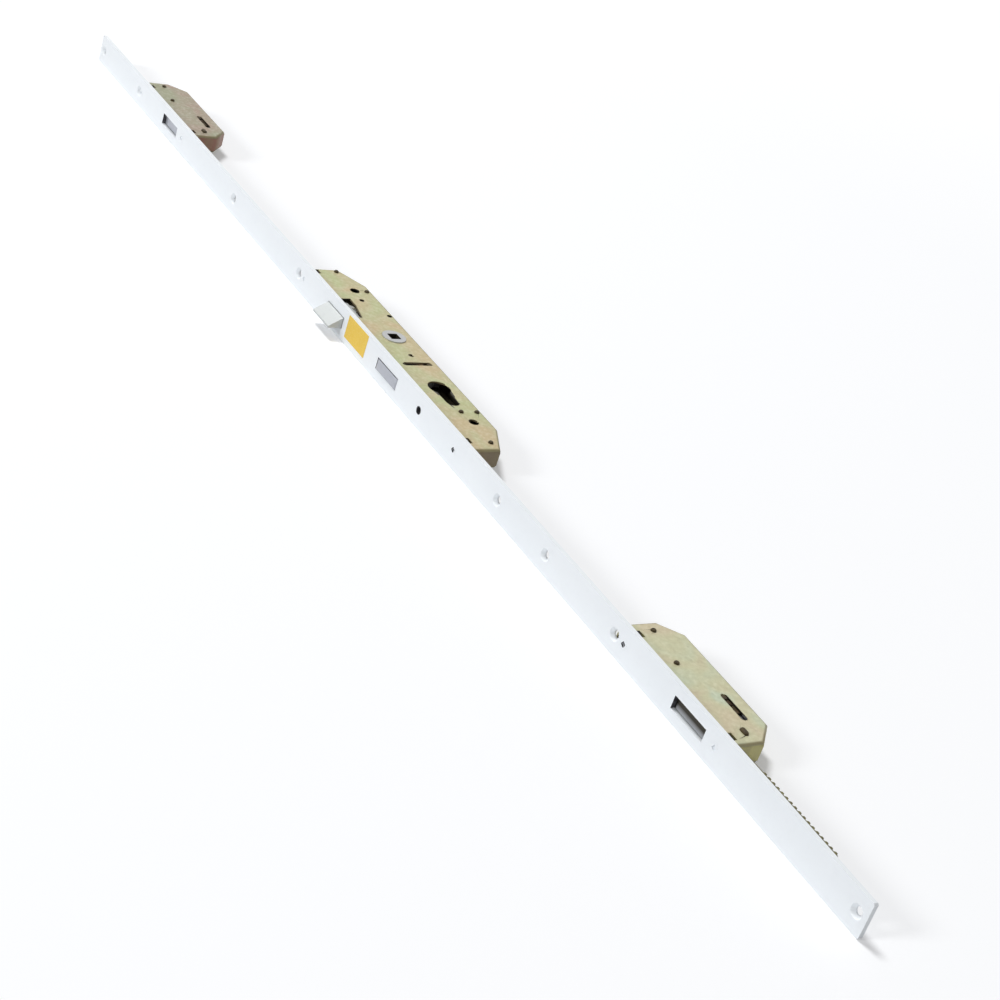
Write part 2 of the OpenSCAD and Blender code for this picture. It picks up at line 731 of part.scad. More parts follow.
// Follower: square hole, bearing collars, lever for the latch and nose for its spring
module follower() {
    nose_y = return_y;
    color(nickel) translate([hub_x, 0, 0]) difference() {
        union() {
            translate([0, 0, -follower_t / 2]) cylinder(r = follower_r, h = follower_t);
            translate([0, 0, -z_case - collar_proud])
                cylinder(r = collar_r, h = 2 * (z_case + collar_proud));
            capsule([-follower_r / 2, lever_y], [-lever_len, lever_y], lever_tip_r,
                -follower_t / 2, follower_t / 2);
            capsule([0, 0], [0, nose_y], lever_tip_r, -follower_t / 2, follower_t / 2);
        }
        box(-square / 2, square / 2, -square / 2, square / 2, -z_case - 2, z_case + 2);
        translate([-lever_tip_r, nose_y, return_z]) rotate([0, 90, 0])
            cylinder(r = wire_d / 2 + 0.2, h = 2 * lever_tip_r);
    }
}

// Coil of wire along one direction, swept from rings of corners
coil_sides = 6;
coil_steps = 8;
module coil(r, len, turns) {
    rings = turns * coil_steps;
    pitch = len / turns;
    path = [for (i = [0 : rings]) let (a = 360 * i / coil_steps) [r * cos(a), r * sin(a), len * i / rings]];
    pts = [for (i = [0 : rings], k = [0 : coil_sides - 1])
        let (a = 360 * i / coil_steps, b = 360 * k / coil_sides, q = r + wire_d / 2 * cos(b))
        [q * cos(a), q * sin(a), pitch * i / coil_steps + wire_d / 2 * sin(b)]];
    sides = [for (i = [0 : rings - 1], k = [0 : coil_sides - 1])
        let (a = i * coil_sides + k, b = i * coil_sides + (k + 1) % coil_sides)
        each [[a, a + coil_sides, b], [b, a + coil_sides, b + coil_sides]]];
    ends = [for (k = [1 : coil_sides - 2])
        each [[0, k, k + 1], rings * coil_sides * [1, 1, 1] + [0, k + 1, k]]];
    echo(least_gap = min([for (i = [0 : rings - coil_steps], j = [i + coil_steps / 2 : rings])
        norm(path[i] - path[j])]) - wire_d);
    polyhedron(pts, concat(sides, ends));
}

spring_turns = 9;
spring_seat = wire_d / 2 + 0.1;
module latch_spring() {
    color(steel) translate([spring_x, spring_y0 + spring_seat, 0]) rotate([-90, 0, 0])
        coil(spring_r, spring_y1 - spring_y0 - 2 * spring_seat, spring_turns);
}

return_turns = 12;
module follower_spring() {
    x0 = return_x0 + pin_r + spring_seat;
    x1 = hub_x - lever_tip_r - spring_seat;
    color(steel) translate([x0, return_y, return_z]) rotate([0, 90, 0])
        coil(return_r, x1 - x0, return_turns);
}

faceplate();
main_tray();
main_cover();
upper_tray();
upper_cover();
lower_tray();
lower_cover();
main_rivets();
upper_rivets();
lower_rivets();
case_screws();
label();
detent_spring();
spring_post();
main_drive_plate();
upper_drive_plate();
lower_drive_plate();
upper_rod();
lower_rod();
toothed_rod();
guide_studs();
rail_rivets();
main_bolt();
upper_bolt();
lower_bolt();
main_bolt_pin();
upper_bolt_pin();
lower_bolt_pin();
latch_bolt();
latch_tail();
latch_rivet();
latch_spring();
follower();
follower_spring();
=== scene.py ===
# Multipoint door lock: a white coated faceplate with three plated cases behind it
import json
import math

import bmesh
import bpy
from mathutils import Matrix, Vector


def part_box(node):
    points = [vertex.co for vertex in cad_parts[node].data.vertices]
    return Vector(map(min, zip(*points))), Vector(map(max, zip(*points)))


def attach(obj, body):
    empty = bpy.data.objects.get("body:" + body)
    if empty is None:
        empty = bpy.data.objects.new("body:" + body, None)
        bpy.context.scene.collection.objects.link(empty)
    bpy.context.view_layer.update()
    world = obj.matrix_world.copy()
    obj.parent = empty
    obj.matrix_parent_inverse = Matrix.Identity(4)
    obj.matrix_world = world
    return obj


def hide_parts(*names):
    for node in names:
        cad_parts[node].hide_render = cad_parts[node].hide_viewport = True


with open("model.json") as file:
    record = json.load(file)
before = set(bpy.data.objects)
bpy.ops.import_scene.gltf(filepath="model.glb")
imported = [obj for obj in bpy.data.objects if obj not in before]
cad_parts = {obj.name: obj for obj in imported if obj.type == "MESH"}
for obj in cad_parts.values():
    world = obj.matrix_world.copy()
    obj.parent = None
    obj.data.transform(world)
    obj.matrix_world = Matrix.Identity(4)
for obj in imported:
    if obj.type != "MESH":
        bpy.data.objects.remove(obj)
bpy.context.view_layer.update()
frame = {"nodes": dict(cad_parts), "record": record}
nodes = frame["nodes"]

MM = 0.001

# Places that the dressed pieces and finishes are worked out from
plate_low, plate_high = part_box("faceplate")
mount_place = {m["name"]: Vector(m["pos_m"]) for m in frame["record"]["mounts"]}
HUB = mount_place["spindle_square"]
CASE_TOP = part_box("main_cover")[1].z


def centre(name):
    low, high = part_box(name)
    return (low + high) / 2


# Edges of the pieces, in metres
CUT_EDGE = 0.12 * MM
PLATE_EDGE = 0.35 * MM
BOLT_EDGE = 0.35 * MM
RIVET_EDGE = 1.15 * MM
RIVET_RISE = 0.7 * MM
SHARP = math.radians(25)
FOLD_SHARP = math.radians(40)
FLAT = math.radians(1)
MERGE = 0.001 * MM


# Shader helpers

def node(tree, kind, values=None, **settings):
    """A new node with its settings, and its sockets linked or set."""
    made = tree.nodes.new(kind)
    for name, value in settings.items():
        setattr(made, name, value)
    for name, value in (values or {}).items():
        if isinstance(value, bpy.types.NodeSocket):
            tree.links.new(value, made.inputs[name])
        else:
            made.inputs[name].default_value = value
    return made


def mix_colours(tree, factor, first, second):
    return node(tree, "ShaderNodeMix", {0: factor, 6: first, 7: second}, data_type="RGBA").outputs[2]


def colour(red, green, blue):
    return (red, green, blue, 1.0)


def ramp(tree, value, low, high):
    """Value stretched so that low gives 0 and high gives 1."""
    made = node(tree, "ShaderNodeMapRange", {"Value": value, "From Min": low, "From Max": high})
    return made.outputs["Result"]


def between(tree, value, low, high):
    """Value from 0 to 1 spread between two numbers."""
    made = node(tree, "ShaderNodeMapRange", {"Value": value, "To Min": low, "To Max": high})
    return made.outputs["Result"]


def maths(tree, how, *values):
    return node(tree, "ShaderNodeMath", dict(enumerate(values)), operation=how).outputs[0]


def vectors(tree, how, *values, out="Vector"):
    return node(tree, "ShaderNodeVectorMath", dict(enumerate(values)), operation=how).outputs[out]


def scaled(tree, value, by):
    return maths(tree, "MULTIPLY", value, by)


def noise(tree, vector, scale, detail=3.0, roughness=0.55, distortion=0.0):
    return node(tree, "ShaderNodeTexNoise", {
        "Vector": vector, "Scale": scale, "Detail": detail, "Roughness": roughness,
        "Distortion": distortion}).outputs["Fac"]


def object_place(tree, scale=(1.0, 1.0, 1.0)):
    place = node(tree, "ShaderNodeTexCoord").outputs["Object"]
    return node(tree, "ShaderNodeMapping", {"Vector": place, "Scale": scale}).outputs["Vector"]


def new_group(name, inputs, outputs):
    tree = bpy.data.node_groups.new(name, "ShaderNodeTree")
    for label, kind, value in inputs:
        socket = tree.interface.new_socket(label, in_out="INPUT", socket_type=kind)
        socket.default_value = value
    for label, kind in outputs:
        tree.interface.new_socket(label, in_out="OUTPUT", socket_type=kind)
    return tree, tree.nodes.new("NodeGroupInput").outputs, tree.nodes.new("NodeGroupOutput").inputs


FLOAT = "NodeSocketFloat"
COLOUR = "NodeSocketColor"
VECTOR = "NodeSocketVector"


def make_edge_group():
    """Mask that is 1 along edges and 0 on open faces: rubbed edges on plated parts, a darker band on the
    cases.
    """
    tree, given, result = new_group(
        "edge_band", [("Radius", FLOAT, 0.6 * MM), ("Break Up", FLOAT, 300.0)], [("Mask", FLOAT)])
    rounded = node(tree, "ShaderNodeBevel", {"Radius": given["Radius"]}, samples=6).outputs["Normal"]
    true_normal = node(tree, "ShaderNodeNewGeometry").outputs["Normal"]
    same = vectors(tree, "DOT_PRODUCT", rounded, true_normal, out="Value")
    edge = ramp(tree, same, 0.995, 0.86)
    patches = ramp(tree, noise(tree, object_place(tree), given["Break Up"]), 0.30, 0.62)
    tree.links.new(scaled(tree, edge, patches), result["Mask"])
    return tree


def make_film_group():
    """Passivation film on zinc: broad clouds from pink to green, faint mottle and a few stains."""
    tree, given, result = new_group(
        "zinc_film",
        [("Tone", COLOUR, colour(0.58, 0.55, 0.33)), ("Pink", COLOUR, colour(0.62, 0.48, 0.35)),
         ("Green", COLOUR, colour(0.52, 0.58, 0.31)), ("Stain", COLOUR, colour(0.30, 0.25, 0.13)),
         ("Stains", FLOAT, 0.35)],
        [("Color", COLOUR), ("Roughness", FLOAT), ("Height", FLOAT)])
    place = object_place(tree)
    clouds = noise(tree, place, 30.0, detail=1.2, distortion=0.8)
    tone = mix_colours(tree, ramp(tree, clouds, 0.50, 0.66), given["Tone"], given["Pink"])
    tone = mix_colours(tree, ramp(tree, clouds, 0.49, 0.34), tone, given["Green"])
    mottle = noise(tree, place, 330.0, detail=2.5, roughness=0.6)
    tone = mix_colours(tree, ramp(tree, mottle, 0.48, 1.90), tone, colour(0.95, 0.93, 0.80))
    tone = mix_colours(tree, ramp(tree, mottle, 0.47, -0.90), tone, given["Stain"])
    spots = ramp(tree, noise(tree, place, 150.0, detail=3.0, roughness=0.65), 0.60, 0.82)
    tone = mix_colours(tree, scaled(tree, spots, given["Stains"]), tone, given["Stain"])
    rolled = noise(tree, object_place(tree, scale=(40.0, 1400.0, 1400.0)), 1.0, detail=2.0)
    tree.links.new(tone, result["Color"])
    tree.links.new(between(tree, clouds, 0.40, 0.56), result["Roughness"])
    tree.links.new(rolled, result["Height"])
    return tree


def make_sides_group():
    """Masks for a case's sheet: its upright walls, its fold, and the faces that look into the case."""
    tree, given, result = new_group(
        "case_sides", [("Centre", VECTOR, (0.0, 0.0, 0.0))],
        [("Wall", FLOAT), ("Fold", FLOAT), ("Inside", FLOAT)])
    coordinates = node(tree, "ShaderNodeTexCoord").outputs
    upright = node(tree, "ShaderNodeSeparateXYZ", {0: coordinates["Normal"]}).outputs["Z"]
    level = maths(tree, "ABSOLUTE", upright)
    tree.links.new(ramp(tree, level, 0.70, 0.35), result["Wall"])
    turned = scaled(tree, ramp(tree, level, 0.998, 0.90), ramp(tree, level, 0.30, 0.70))
    tree.links.new(turned, result["Fold"])
    outward = vectors(tree, "SUBTRACT", coordinates["Object"], given["Centre"])
    facing = vectors(tree, "DOT_PRODUCT", outward, coordinates["Normal"], out="Value")
    tree.links.new(maths(tree, "LESS_THAN", facing, 0.0), result["Inside"])
    return tree


def make_grain_group():
    """Fine drawn grain of plated steel along one direction, with handling marks."""
    tree, given, result = new_group(
        "drawn_grain", [("Along", FLOAT, 40.0), ("Across", FLOAT, 1600.0)],
        [("Grain", FLOAT), ("Marks", FLOAT)])
    across = given["Across"]
    stretch = node(tree, "ShaderNodeCombineXYZ", {"X": given["Along"], "Y": across, "Z": across}).outputs[0]
    place = node(tree, "ShaderNodeTexCoord").outputs["Object"]
    lines = vectors(tree, "MULTIPLY", place, stretch)
    tree.links.new(noise(tree, lines, 1.0, detail=2.0), result["Grain"])
    marks = ramp(tree, noise(tree, object_place(tree), 260.0, detail=5.0, roughness=0.7), 0.52, 0.78)
    tree.links.new(marks, result["Marks"])
    return tree


EDGE_GROUP = make_edge_group()
FILM_GROUP = make_film_group()
GRAIN_GROUP = make_grain_group()
SIDES_GROUP = make_sides_group()


def new_material(name):
    made = bpy.data.materials.new(name)
    made.use_nodes = True
    tree = made.node_tree
    return made, tree, tree.nodes["Principled BSDF"].inputs


def place_group(tree, group, values=None):
    made = tree.nodes.new("ShaderNodeGroup")
    made.node_tree = group
    for name, value in (values or {}).items():
        made.inputs[name].default_value = value
    return made.outputs


def bump(tree, height, strength, distance):
    return node(tree, "ShaderNodeBump", {
        "Height": height, "Strength": strength, "Distance": distance}).outputs["Normal"]


# Finishes

def white_coat():
    """Satin powder coat with a slight orange peel and faint handling marks."""
    made, tree, skin = new_material("white_powder_coat")
    place = object_place(tree)
    drift = noise(tree, place, 14.0, detail=2.0)
    paint = mix_colours(tree, drift, colour(0.855, 0.895, 0.93), colour(0.905, 0.935, 0.96))
    marks = place_group(tree, GRAIN_GROUP)["Marks"]
    paint = mix_colours(tree, scaled(tree, marks, 0.10), paint, colour(0.64, 0.66, 0.68))
    tree.links.new(paint, skin["Base Color"])
    peel = noise(tree, place, 900.0, detail=1.5)
    tree.links.new(bump(tree, peel, 0.10, 0.05 * MM), skin["Normal"])
    tree.links.new(between(tree, drift, 0.36, 0.46), skin["Roughness"])
    return made


# Tones of painted shade in hollows, of a case's folds and of its stains
PAINTED_SHADE = (0.030, 0.025, 0.016)
FOLD_TONE = colour(0.20, 0.165, 0.075)
STAIN = (0.26, 0.21, 0.11)

# Reach of the darker band along a case's edges, and of the wear along plated edges
CASE_EDGE_BAND = 1.5 * MM
PLATE_WEAR = 0.5 * MM


def case_zinc(name, shell, tone, pink, green, wall, inside=PAINTED_SHADE):
    """Film on a case's sheet: pale on its flat face, darker on drawn walls partly as painted shade, and
    painted dark as shade on the faces that look into the case.
    """
    made, tree, skin = new_material(name)
    film = place_group(tree, FILM_GROUP, {
        "Tone": colour(*tone), "Pink": colour(*pink), "Green": colour(*green), "Stain": colour(*STAIN)})
    sides = place_group(tree, SIDES_GROUP, {"Centre": centre(shell)})
    streaks = noise(tree, object_place(tree, scale=(1.0, 1.0, 0.25)), 150.0, detail=4.0)
    streaked = scaled(tree, ramp(tree, streaks, 0.40, 0.70), 0.6)
    wall_tone = mix_colours(tree, streaked, colour(*wall), colour(*STAIN))
    # Upright walls darker than the flat face: partly the film's own tone, partly painted shade
    skin_tone = mix_colours(tree, scaled(tree, sides["Wall"], 0.92), film["Color"], wall_tone)
    # A darker band along the case's fold and edges
    skin_tone = mix_colours(tree, scaled(tree, sides["Fold"], 0.8), skin_tone, FOLD_TONE)
    edge = place_group(tree, EDGE_GROUP, {"Radius": CASE_EDGE_BAND})["Mask"]
    skin_tone = mix_colours(tree, scaled(tree, edge, 0.7), skin_tone, FOLD_TONE)
    # Painted shade: the faces that look into the case are painted dark
    skin_tone = mix_colours(tree, sides["Inside"], skin_tone, colour(*inside))
    tree.links.new(skin_tone, skin["Base Color"])
    tree.links.new(film["Roughness"], skin["Roughness"])
    tree.links.new(bump(tree, film["Height"], 0.12, 0.02 * MM), skin["Normal"])
    skin["Metallic"].default_value = 0.2
    skin["Specular IOR Level"].default_value = 0.35
    return made


def dark_zinc(name, tone, stain):
    """Greased or blackened zinc on rivets, studs and rails."""
    made, tree, skin = new_material(name)
    blotches = noise(tree, object_place(tree), 380.0, detail=4.0, roughness=0.65)
    skin_tone = mix_colours(tree, ramp(tree, blotches, 0.38, 0.64), colour(*tone), colour(*stain))
    tree.links.new(skin_tone, skin["Base Color"])
    tree.links.new(between(tree, blotches, 0.42, 0.65), skin["Roughness"])
    tree.links.new(bump(tree, blotches, 0.15, 0.03 * MM), skin["Normal"])
    skin["Metallic"].default_value = 0.15
    skin["Specular IOR Level"].default_value = 0.25
    return made


# Depth from a nose over which its painted shade fades, and the span across it over which that painted shade
# sets in
NOSE_SHADE_DEPTH = (1.2 * MM, 0.4 * MM)
NOSE_SHADE_RISE = (-4.2 * MM, 0.0)


def plated_steel(name, tone, dark, rough=(0.26, 0.40), metal=0.6, shaded_nose=None):
    """Nickel or bright zinc plate with drawn grain, rubbed marks and, if given its place, a nose painted
    dark towards its upper edge as shade.
    """
    made, tree, skin = new_material(name)
    skin_tone = plate_tone(tree, tone, dark)
    # Painted shade: the shadow of the faceplate opening's upper rim on a sunk bolt's nose
    if shaded_nose:
        place = node(tree, "ShaderNodeTexCoord").outputs["Object"]
        at = node(tree, "ShaderNodeSeparateXYZ", {0: place}).outputs
        nose = ramp(tree, at["Y"], *[shaded_nose + depth for depth in NOSE_SHADE_DEPTH])
        nose_shade = scaled(tree, nose, ramp(tree, at["Z"], *NOSE_SHADE_RISE))
        skin_tone = mix_colours(tree, nose_shade, skin_tone, colour(*PAINTED_SHADE))
    tree.links.new(skin_tone, skin["Base Color"])
    grain = place_group(tree, GRAIN_GROUP)["Grain"]
    tree.links.new(between(tree, grain, *rough), skin["Roughness"])
    tree.links.new(bump(tree, grain, 0.15, 0.01 * MM), skin["Normal"])
    skin["Metallic"].default_value = metal
    return made


def plate_tone(tree, tone, dark):
    grain = place_group(tree, GRAIN_GROUP)
    edge = place_group(tree, EDGE_GROUP, {"Radius": PLATE_WEAR})["Mask"]
    rubbed = mix_colours(tree, scaled(tree, grain["Marks"], 0.35), colour(*tone), colour(*dark))
    return mix_colours(tree, scaled(tree, edge, 0.5), rubbed, colour(*dark))


# Axis to the corners of the follower's square bore, and the width over which the bore's painted shade fades
SQUARE_REACH = 6.2 * MM
SQUARE_FADE = 0.3 * MM


def hub_plate():
    """Turned face of the follower, with rings about its axis and its square bore painted dark as shade."""
    made, tree, skin = new_material("hub_plate")
    coordinates = node(tree, "ShaderNodeTexCoord").outputs
    arm = vectors(tree, "SUBTRACT", coordinates["Object"], HUB)
    flat = vectors(tree, "MULTIPLY", arm, (1.0, 1.0, 0.0))
    reach = vectors(tree, "LENGTH", flat, out="Value")
    upright = node(tree, "ShaderNodeSeparateXYZ", {0: coordinates["Normal"]}).outputs["Z"]
    level = maths(tree, "ABSOLUTE", upright)
    # Painted shade: the square bore's faces are painted dark and not metallic
    inner = ramp(tree, reach, SQUARE_REACH, SQUARE_REACH - SQUARE_FADE)
    bore = scaled(tree, inner, ramp(tree, level, 0.8, 0.3))
    turned = {"Vector": flat, "Scale": 220.0, "Distortion": 1.5, "Detail": 2.0}
    rings = node(
        tree, "ShaderNodeTexWave", turned, wave_type="RINGS", rings_direction="SPHERICAL").outputs["Fac"]
    skin_tone = plate_tone(tree, (0.50, 0.51, 0.52), (0.22, 0.22, 0.22))
    skin_tone = mix_colours(tree, scaled(tree, rings, 0.25), skin_tone, colour(0.40, 0.40, 0.38))
    tree.links.new(mix_colours(tree, bore, skin_tone, colour(*PAINTED_SHADE)), skin["Base Color"])
    tree.links.new(between(tree, bore, 0.6, 0.0), skin["Metallic"])
    tree.links.new(bump(tree, rings, 0.2, 0.02 * MM), skin["Normal"])
    skin["Roughness"].default_value = 0.34
    return made


def label_paper():
    """Plain yellow paper with fibre and a slight drift of tone."""
    made, tree, skin = new_material("label_paper")
    place = object_place(tree)
    fibre = noise(tree, place, 1500.0, detail=4.0)
    drift = noise(tree, place, 60.0, detail=2.0)
    paper = mix_colours(tree, drift, colour(0.77, 0.49, 0.045), colour(0.83, 0.57, 0.070))
    paper = mix_colours(tree, ramp(tree, fibre, 0.35, 1.6), paper, colour(0.93, 0.76, 0.32))
    tree.links.new(paper, skin["Base Color"])
    tree.links.new(bump(tree, fibre, 0.2, 0.02 * MM), skin["Normal"])
    skin["Roughness"].default_value = 0.7
    return made


finish = {
    "white": white_coat(),
    # Dark finish standing partly for uncoated metal and partly for painted shade in openings and recesses
    "uncoated_and_shade": dark_zinc("dark_metal_and_painted_shade", (0.12, 0.12, 0.13), (0.05, 0.05, 0.055)),
    # Wall tones are darker than the flat tones partly as painted shade on the upright walls
    "main_cover": case_zinc(
        "main_cover_zinc", "main_cover", tone=(0.515, 0.485, 0.28), pink=(0.555, 0.455, 0.27),
        green=(0.475, 0.505, 0.265), wall=(0.22, 0.16, 0.10)),
    "lower_cover": case_zinc(
        "lower_cover_zinc", "lower_cover", tone=(0.565, 0.555, 0.36), pink=(0.585, 0.515, 0.35),
        green=(0.53, 0.59, 0.43), wall=(0.57, 0.525, 0.20)),
    "upper_cover": case_zinc(
        "upper_cover_zinc", "upper_cover", tone=(0.335, 0.30, 0.215), pink=(0.365, 0.275, 0.215),
        green=(0.315, 0.32, 0.21), wall=(0.30, 0.135, 0.095)),
    # The tray's faces that look into the case take a paler painted shade
    "tray": case_zinc(
        "tray_zinc", "main_cover", tone=(0.56, 0.53, 0.33), pink=(0.58, 0.48, 0.35),
        green=(0.52, 0.56, 0.33), wall=(0.24, 0.20, 0.12), inside=(0.20, 0.18, 0.11)),
    "rail": dark_zinc("greased_rail", (0.30, 0.20, 0.12), (0.15, 0.095, 0.055)),
    "black_rail": dark_zinc("black_rail", (0.085, 0.055, 0.030), (0.030, 0.022, 0.014)),
    "dark": dark_zinc("blackened_zinc", (0.075, 0.055, 0.024), (0.035, 0.026, 0.013)),
    "rack": dark_zinc("rack_zinc", (0.20, 0.18, 0.075), (0.085, 0.072, 0.030)),
    "nickel": plated_steel("satin_nickel", (0.44, 0.455, 0.50), (0.25, 0.255, 0.29)),
    # The lower bolt's nose carries a painted shadow
    "nose_shaded_nickel": plated_steel(
        "nickel_with_painted_shade", (0.50, 0.515, 0.54), (0.24, 0.245, 0.26), shaded_nose=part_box("lower_bolt")[0].y),
    "latch": plated_steel(
        "latch_nickel", (0.56, 0.585, 0.58), (0.40, 0.41, 0.42), rough=(0.45, 0.55), metal=0.15),
    "hub": hub_plate(),
    "steel": plated_steel("bright_zinc", (0.60, 0.62, 0.66), (0.36, 0.37, 0.40)),
    "label": label_paper()}

node_finish = {
    "faceplate": "white", "label": "label", "case_screws": "white",
    "main_tray": "tray", "upper_tray": "tray", "lower_tray": "tray",
    "main_cover": "main_cover", "upper_cover": "upper_cover", "lower_cover": "lower_cover",
    "main_rivets": "dark", "upper_rivets": "dark", "lower_rivets": "dark",
    "detent_spring": "steel", "spring_post": "dark",
    "main_drive_plate": "rail", "upper_drive_plate": "black_rail", "lower_drive_plate": "black_rail",
    "upper_rod": "rack", "lower_rod": "rack", "toothed_rod": "rack", "guide_studs": "dark",
    "rail_rivets": "dark", "main_bolt": "nickel", "upper_bolt": "nickel", "lower_bolt": "nose_shaded_nickel",
    "main_bolt_pin": "dark", "upper_bolt_pin": "dark", "lower_bolt_pin": "dark",
    "latch_bolt": "latch", "latch_tail": "rail", "latch_rivet": "dark", "latch_spring": "steel",
    "follower": "hub", "follower_spring": "steel"}

for name, look in node_finish.items():
    nodes[name].data.materials.clear()
    nodes[name].data.materials.append(finish[look])

body_of_node = {n: b for b, members in frame["record"]["behaviour"]["bodies"].items() for n in members}


# Pieces

def finish_piece(name, shape, looks, body, smooth=SHARP):
    """Turns a bmesh into a piece at the origin that rides on a body."""
    mesh = bpy.data.meshes.new(name)
    shape.to_mesh(mesh)
    shape.free()
    mesh.shade_smooth()
    mesh.set_sharp_from_angle(angle=smooth)
    for look in looks:
        mesh.materials.append(finish[look])
    piece = bpy.data.objects.new(name, mesh)
    bpy.context.scene.collection.objects.link(piece)
    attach(piece, body)
    return piece


def bevel(shape, edges, width, segments):
    bmesh.ops.bevel(
        shape, geom=edges, offset=width, offset_type="OFFSET", affect="EDGES", segments=segments,
        profile=0.5, material=-1, clamp_overlap=True, loop_slide=True)


def sharp_edges(shape, keep=lambda edge: True):
    return [e for e in shape.edges
            if len(e.link_faces) == 2 and e.calc_face_angle(0.0) > SHARP and keep(e)]


def merged_copy(source):
    shape = bmesh.new()
    shape.from_mesh(nodes[source].data)
    bmesh.ops.remove_doubles(shape, verts=shape.verts, dist=MERGE)
    return shape


def flat_faced_copy(source):
    """A copy whose flat faces are whole instead of cut into triangles."""
    shape = merged_copy(source)
    bmesh.ops.dissolve_limit(shape, angle_limit=FLAT, verts=shape.verts, edges=shape.edges)
    return shape


def in_place_of(source, shape, smooth=SHARP):
    """A dressed copy of a solid in the solid's place, with normals that follow its large faces."""
    piece = finish_piece(
        source + "_dressed", shape, (node_finish[source], "uncoated_and_shade"),
        body_of_node[source], smooth)
    weighted = piece.modifiers.new("weighted", "WEIGHTED_NORMAL")
    weighted.keep_sharp = True
    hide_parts(source)


def eased_node(source, edge, uncoated_and_shade=lambda face: False):
    """A copy with its sharp edges eased and some faces given the dark finish of uncoated metal and painted
    shade.
    """
    shape = flat_faced_copy(source)
    for face in shape.faces:
        face.material_index = int(uncoated_and_shade(face))
    bevel(shape, sharp_edges(shape), edge, 2)
    in_place_of(source, shape)


def riveted_node(source):
    """A copy with the ends that stand out of the cases upset into low heads."""
    shape = flat_faced_copy(source)
    for way in (-1, 1):
        end = [v for v in shape.verts if v.co.z * way > CASE_TOP]
        bmesh.ops.translate(shape, verts=end, vec=(0.0, 0.0, way * RIVET_RISE))
    rims = sharp_edges(shape, lambda edge: all(abs(v.co.z) > CASE_TOP for v in edge.verts))
    bevel(shape, rims, RIVET_EDGE, 3)
    in_place_of(source, shape)


def islands(source):
    """The separate solids of a node along the lock, each as a list of its corners."""
    shape = merged_copy(source)
    left = set(shape.verts)
    found = []
    while left:
        front = [left.pop()]
        solid = list(front)
        while front:
            near = [e.other_vert(v) for v in front for e in v.link_edges]
            front = list(left.intersection(near))
            left.difference_update(front)
            solid += front
        found.append([v.co.copy() for v in solid])
    shape.free()
    return sorted(found, key=lambda corners: min(c.x for c in corners))


def extent(corners):
    low = Vector([min(c[i] for c in corners) for i in range(3)])
    high = Vector([max(c[i] for c in corners) for i in range(3)])
    return low, high


# Openings in the faceplate: bolts and latch by their pieces' boxes, the cylinder screw by its mount
OPENING_RIM = 1.0 * MM
SCREW_HOLE_REACH = 4.0 * MM
opening_boxes = [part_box(n) for n in ("main_bolt", "upper_bolt", "lower_bolt", "latch_bolt")]
opening_spans = [(low.x - OPENING_RIM, high.x + OPENING_RIM) for low, high in opening_boxes]
screw_x = mount_place["cylinder_screw"].x


def opening_wall(face):
    """Walls of the faceplate's openings for bolts, latch and cylinder screw, painted dark partly as
    uncoated cut metal and partly as shade.
    """
    at = face.calc_center_median()
    inner = abs(at.z) < plate_high.z - OPENING_RIM and abs(face.normal.y) < 0.5
    in_screw_hole = abs(at.x - screw_x) < SCREW_HOLE_REACH
    in_opening = face.normal.z < 0.5 and any(low < at.x < high for low, high in opening_spans)
    return inner and (in_screw_hole or in_opening)


# The opening walls get painted shade, partly standing for uncoated cut metal
eased_node("faceplate", PLATE_EDGE, uncoated_and_shade=opening_wall)
eased_node("toothed_rod", CUT_EDGE)
for name in ("main_cover", "upper_cover", "lower_cover", "main_tray", "upper_tray", "lower_tray"):
    in_place_of(name, merged_copy(name), FOLD_SHARP)
for name in ("main_bolt", "upper_bolt", "lower_bolt", "latch_bolt", "follower"):
    eased_node(name, BOLT_EDGE)
for name in ("main_rivets", "upper_rivets", "lower_rivets"):
    riveted_node(name)


# Screws through the faceplate into the cases' lugs

RECESS_REACH = 1.9 * MM
RECESS_WAIST = 0.84
RECESS_DEEP = 1.2 * MM
RECESS_FLOOR = 0.75
HEAD_RIM = 0.25 * MM
SHANK_SHARE = 0.55
SCREW_SIDES = 24
ARM_SIDES = SCREW_SIDES // 4

# Screws, counted from the lock's upper end, whose recess is dark: partly the coat rubbed through, partly
# painted shade
RUBBED_AND_SHADED_SCREWS = (3, 4)


